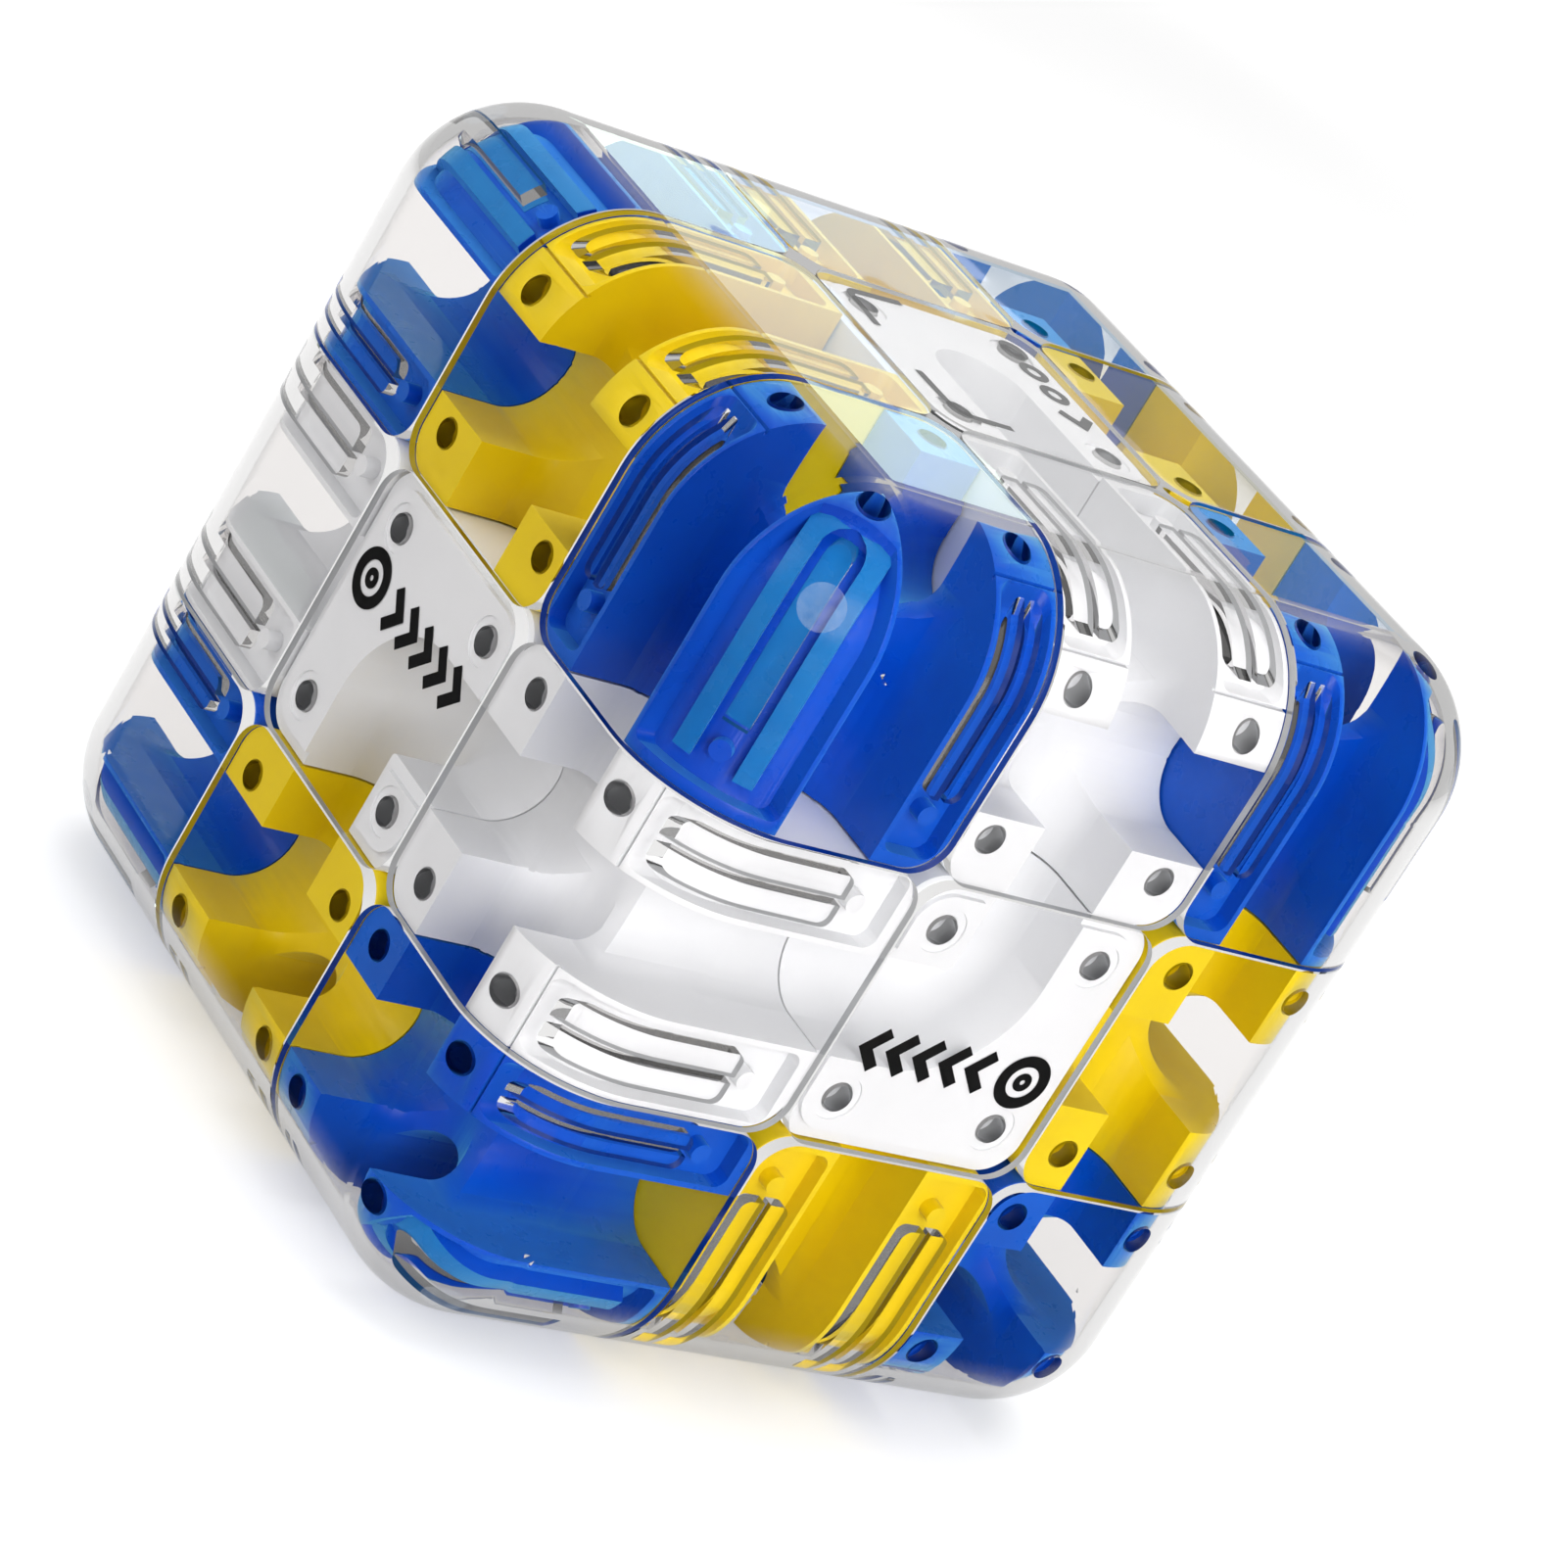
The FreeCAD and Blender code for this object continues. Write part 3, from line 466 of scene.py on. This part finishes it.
def face_limit(height, half, radius):
    """Half width of a face at a height, where the pocket's upper end doesn't cut it off."""
    above = max(0.0, height - CORNER)
    room = radius**2 - above**2 - (POCKET_START - CORNER * math.sqrt(2)) ** 2
    return min(half, math.sqrt(max(0.0, room)))


def curved_strip(work, axes, radius, heights, inner, outer):
    """Strip on the rounded cube edge, between two half widths that depend on the height."""
    outward, sideways, up = axes
    rows = []
    for index in range(STRIP_ROWS + 1):
        height = heights[0] + (heights[1] - heights[0]) * index / STRIP_ROWS
        above = max(0.0, height - CORNER)
        if outer(height) - inner(height) < NARROWEST:
            break
        row = []
        for column in range(STRIP_COLUMNS + 1):
            across = inner(height) + (outer(height) - inner(height)) * column / STRIP_COLUMNS
            away = CORNER * math.sqrt(2) + math.sqrt(radius**2 - across**2 - above**2)
            row.append(work.verts.new((sideways * across + outward * away + up * height) * MM))
        rows.append(row)
    for lower, upper in zip(rows, rows[1:]):
        for column in range(STRIP_COLUMNS):
            work.faces.new((lower[column], lower[column + 1], upper[column + 1], upper[column]))


def bar_sheen_face(name, place, up, body):
    """Painted sheen: lighter blue faces laid on the raised bar along a corner block's own cube edge and on
    its slot's floor, standing in for the reflection on them.
    """
    first, second = corner_axes(place, up)
    outward, sideways = (first + second) / math.sqrt(2), (first - second) / math.sqrt(2)
    work = bmesh.new()
    for side in (sideways, -sideways):
        axes = outward, side, up
        curved_strip(work, axes, BAR_RADIUS, BAR_HEIGHTS, lambda height: slot_half(height, SLOT_HALF),
                     lambda height: face_limit(height, BAR_HALF, BAR_RADIUS))
        curved_strip(work, axes, FLOOR_RADIUS, FLOOR_HEIGHTS, lambda height: 0.0,
                     lambda height: slot_half(height, FLOOR_HALF))
    piece = new_piece(name, work, MATERIALS["bar_sheen_blue"], body)
    thick = piece.modifiers.new("thickness", "SOLIDIFY")
    thick.thickness = BAR_SKIN


def gate_spot(name, place, up, body):
    """Round milky spot on a corner cover."""
    first, second = corner_axes(place, up)
    centre = (first + second + up) * (HALF - EDGE_RADIUS)
    to_first, to_second, to_up = GATE_DIRECTION
    direction = (first * to_first + second * to_second + up * to_up).normalized()
    side = direction.cross(up).normalized()
    other = direction.cross(side)
    work = bmesh.new()
    rings = []
    for radius, level in GATE_RINGS:
        tilt = radius * MM / EDGE_RADIUS
        ring = []
        for x, y in circle((0, 0), 1.0, GATE_POINTS):
            spoke = direction * math.cos(tilt) + (side * x + other * y) * math.sin(tilt)
            ring.append(work.verts.new(centre + spoke * (EDGE_RADIUS + level * MM)))
        rings.append(ring)
    for inner, outer in zip(rings, rings[1:]):
        for index in range(len(inner)):
            following = (index + 1) % len(inner)
            work.faces.new((inner[index], inner[following], outer[following], outer[index]))
    work.faces.new(rings[0])
    work.faces.new(rings[-1])
    new_piece(name, work, MATERIALS["gate"], body)


def add_details():
    """Prints on three tiles, with painted corner shade on the start tile, and the painted sheen bar faces
    and gate spots of the eight corners.
    """
    print_badge("front_print", printed_surface(X, Z), "middle_layer")
    print_badge("right_print", printed_surface(-Y, -Z), "middle_layer")
    print_start_and_corner_shade("start_print_and_corner_shade", printed_surface(X, Y), "top_layer")
    for number, (place, up) in enumerate(CORNER_BLOCKS.items(), start=1):
        body = "top_layer" if place[2] > 0 else "bottom_layer"
        # painted sheen on each corner's bar, standing in for its reflection
        bar_sheen_face(f"bar_face_{number}", place, up, body)
        gate_spot(f"gate_spot_{number}", place, up, body)


# Stage

def stage_piece(name, corners, material):
    """Flat sheet between four corners, not part of the cube."""
    mesh = bpy.data.meshes.new(name)
    mesh.from_pydata(corners, [], [tuple(range(len(corners)))])
    mesh.materials.append(material)
    obj = bpy.data.objects.new(name, mesh)
    bpy.context.scene.collection.objects.link(obj)
    return obj


def build_floor():
    """Plain pale floor under the cube."""
    height = -HALF - FLOOR_GAP
    corners = [(x * FLOOR_REACH, y * FLOOR_REACH, height) for x, y in ((-1, -1), (1, -1), (1, 1), (-1, 1))]
    stage_piece("floor", corners, floor_paint("floor"))


def build_world():
    """Even white surroundings, dimmer where a track mirrors them and brighter in the covers' rims."""
    nodes = Nodes(bpy.data.worlds.new("studio"), "ShaderNodeOutputWorld")
    open_light = nodes.switch(nodes.mirrored_after(1), WORLD_LIGHT, WORLD_RIM)
    strength = nodes.switch(nodes.mirrored_after(2), open_light, WORLD_REFLECTION)
    white = nodes.add("ShaderNodeBackground", Color=(1, 1, 1, 1), Strength=strength)
    world = nodes.finish(white.outputs[0])
    world.cycles.sampling_method = "NONE"
    bpy.context.scene.world = world


def soft_light(name, place, size, power, mirrored):
    """Square soft lamp aimed at the cube, seen in its gloss or not."""
    lamp = bpy.data.lights.new(name, "AREA")
    lamp.size = size
    lamp.energy = power
    obj = bpy.data.objects.new(name, lamp)
    obj.location = place
    obj.rotation_euler = (-Vector(place)).to_track_quat("-Z", "Y").to_euler()
    obj.visible_glossy = mirrored
    bpy.context.scene.collection.objects.link(obj)


def camera_axes():
    """Right, up and backward directions of the camera, and its place."""
    azimuth, elevation = math.radians(CAMERA_AZIMUTH), math.radians(CAMERA_ELEVATION)
    backward = Vector((math.sin(azimuth) * math.cos(elevation),
                       -math.cos(azimuth) * math.cos(elevation), math.sin(elevation)))
    level = Vector((math.cos(azimuth), math.sin(azimuth), 0))
    right = Matrix.Rotation(math.radians(CAMERA_ROLL), 3, backward) @ level
    return right, backward.cross(right), backward, CAMERA_AIM + backward * CAMERA_DISTANCE


def build_camera():
    """Long lens above the cube's near corner, rolled so that the cube stands tipped in the frame."""
    right, up, backward, place = camera_axes()
    data = bpy.data.cameras.new("camera")
    data.lens = CAMERA_LENS
    data.sensor_width = CAMERA_SENSOR
    data.clip_start = CAMERA_CLIP
    obj = bpy.data.objects.new("camera", data)
    obj.matrix_world = Matrix.Translation(place) @ Matrix((right, up, backward)).transposed().to_4x4()
    bpy.context.scene.collection.objects.link(obj)
    bpy.context.scene.camera = obj


def glowing(name, colour, strength):
    """Evenly glowing card."""
    nodes = material_nodes(name)
    return nodes.finish(nodes.add("ShaderNodeEmission", Color=(*colour, 1), Strength=strength).outputs[0])


# Cards, one for each block of the top that mirrors it to the camera: the left, front, right and back
# limit of the mirroring region in millimetres, then colour and strength of the glow
CARD_REACH = 34.0
CARD_RIGHT = 22.5
CARD_BACK = 11.0
CARD_DISTANCE = 2.0             # mirrored camera to card, as a multiple of its distance to the top
CARDS = {
    "left_corner": ((-CARD_REACH, -CARD_REACH, -LAYER, -LAYER), (0.80, 0.99, 0.86), 4.8),
    "near_corner": ((LAYER, -CARD_REACH, CARD_RIGHT, -LAYER), (0.80, 0.99, 0.86), 4.8),
    "left_edge": ((-CARD_REACH, -LAYER, -LAYER, CARD_BACK), (0.55, 0.75, 1.0), 2.9),
    "near_edge": ((-LAYER, -CARD_REACH, LAYER, -LAYER), (0.55, 0.75, 1.0), 2.9),
    "middle": ((-LAYER, -LAYER, LAYER, CARD_BACK), (1.0, 1.0, 1.0), 1.1),
    "far_corner": ((-CARD_REACH, CARD_BACK, -LAYER, CARD_REACH), (0.0, 0.5, 1.0), 1.0),
    "far_edge": ((-LAYER, CARD_BACK, LAYER, CARD_REACH), (1.0, 1.0, 0.1), 0.4),
    "right_corner": ((LAYER, CARD_BACK, CARD_REACH, CARD_REACH), (0.0, 0.5, 1.0), 1.0),
}


def build_cards():
    """Glowing cards behind the cube that the top covers mirror to the camera as a pale veil."""
    eye = camera_axes()[3]
    mirrored_eye = Vector((eye.x, eye.y, 2 * HALF - eye.z))
    for block, ((left, front, right, back), colour, strength) in CARDS.items():
        corners = [mirrored_eye.lerp(Vector((x, y, HALF / MM)) * MM, CARD_DISTANCE)
                   for x, y in ((left, front), (right, front), (right, back), (left, back))]
        card = stage_piece(f"card_{block}", corners, glowing(f"card_{block}", colour, strength))
        card.visible_diffuse = False


paint_nodes()
add_details()
build_floor()
build_world()
for lamp_name, lamp_values in LAMPS.items():
    soft_light(lamp_name, *lamp_values)
build_cards()
build_camera()
bpy.context.scene.view_settings.view_transform = "Standard"
bpy.context.scene.cycles.glossy_bounces = GLOSSY_BOUNCES
bpy.context.scene.cycles.transparent_max_bounces = CLEAR_BOUNCES
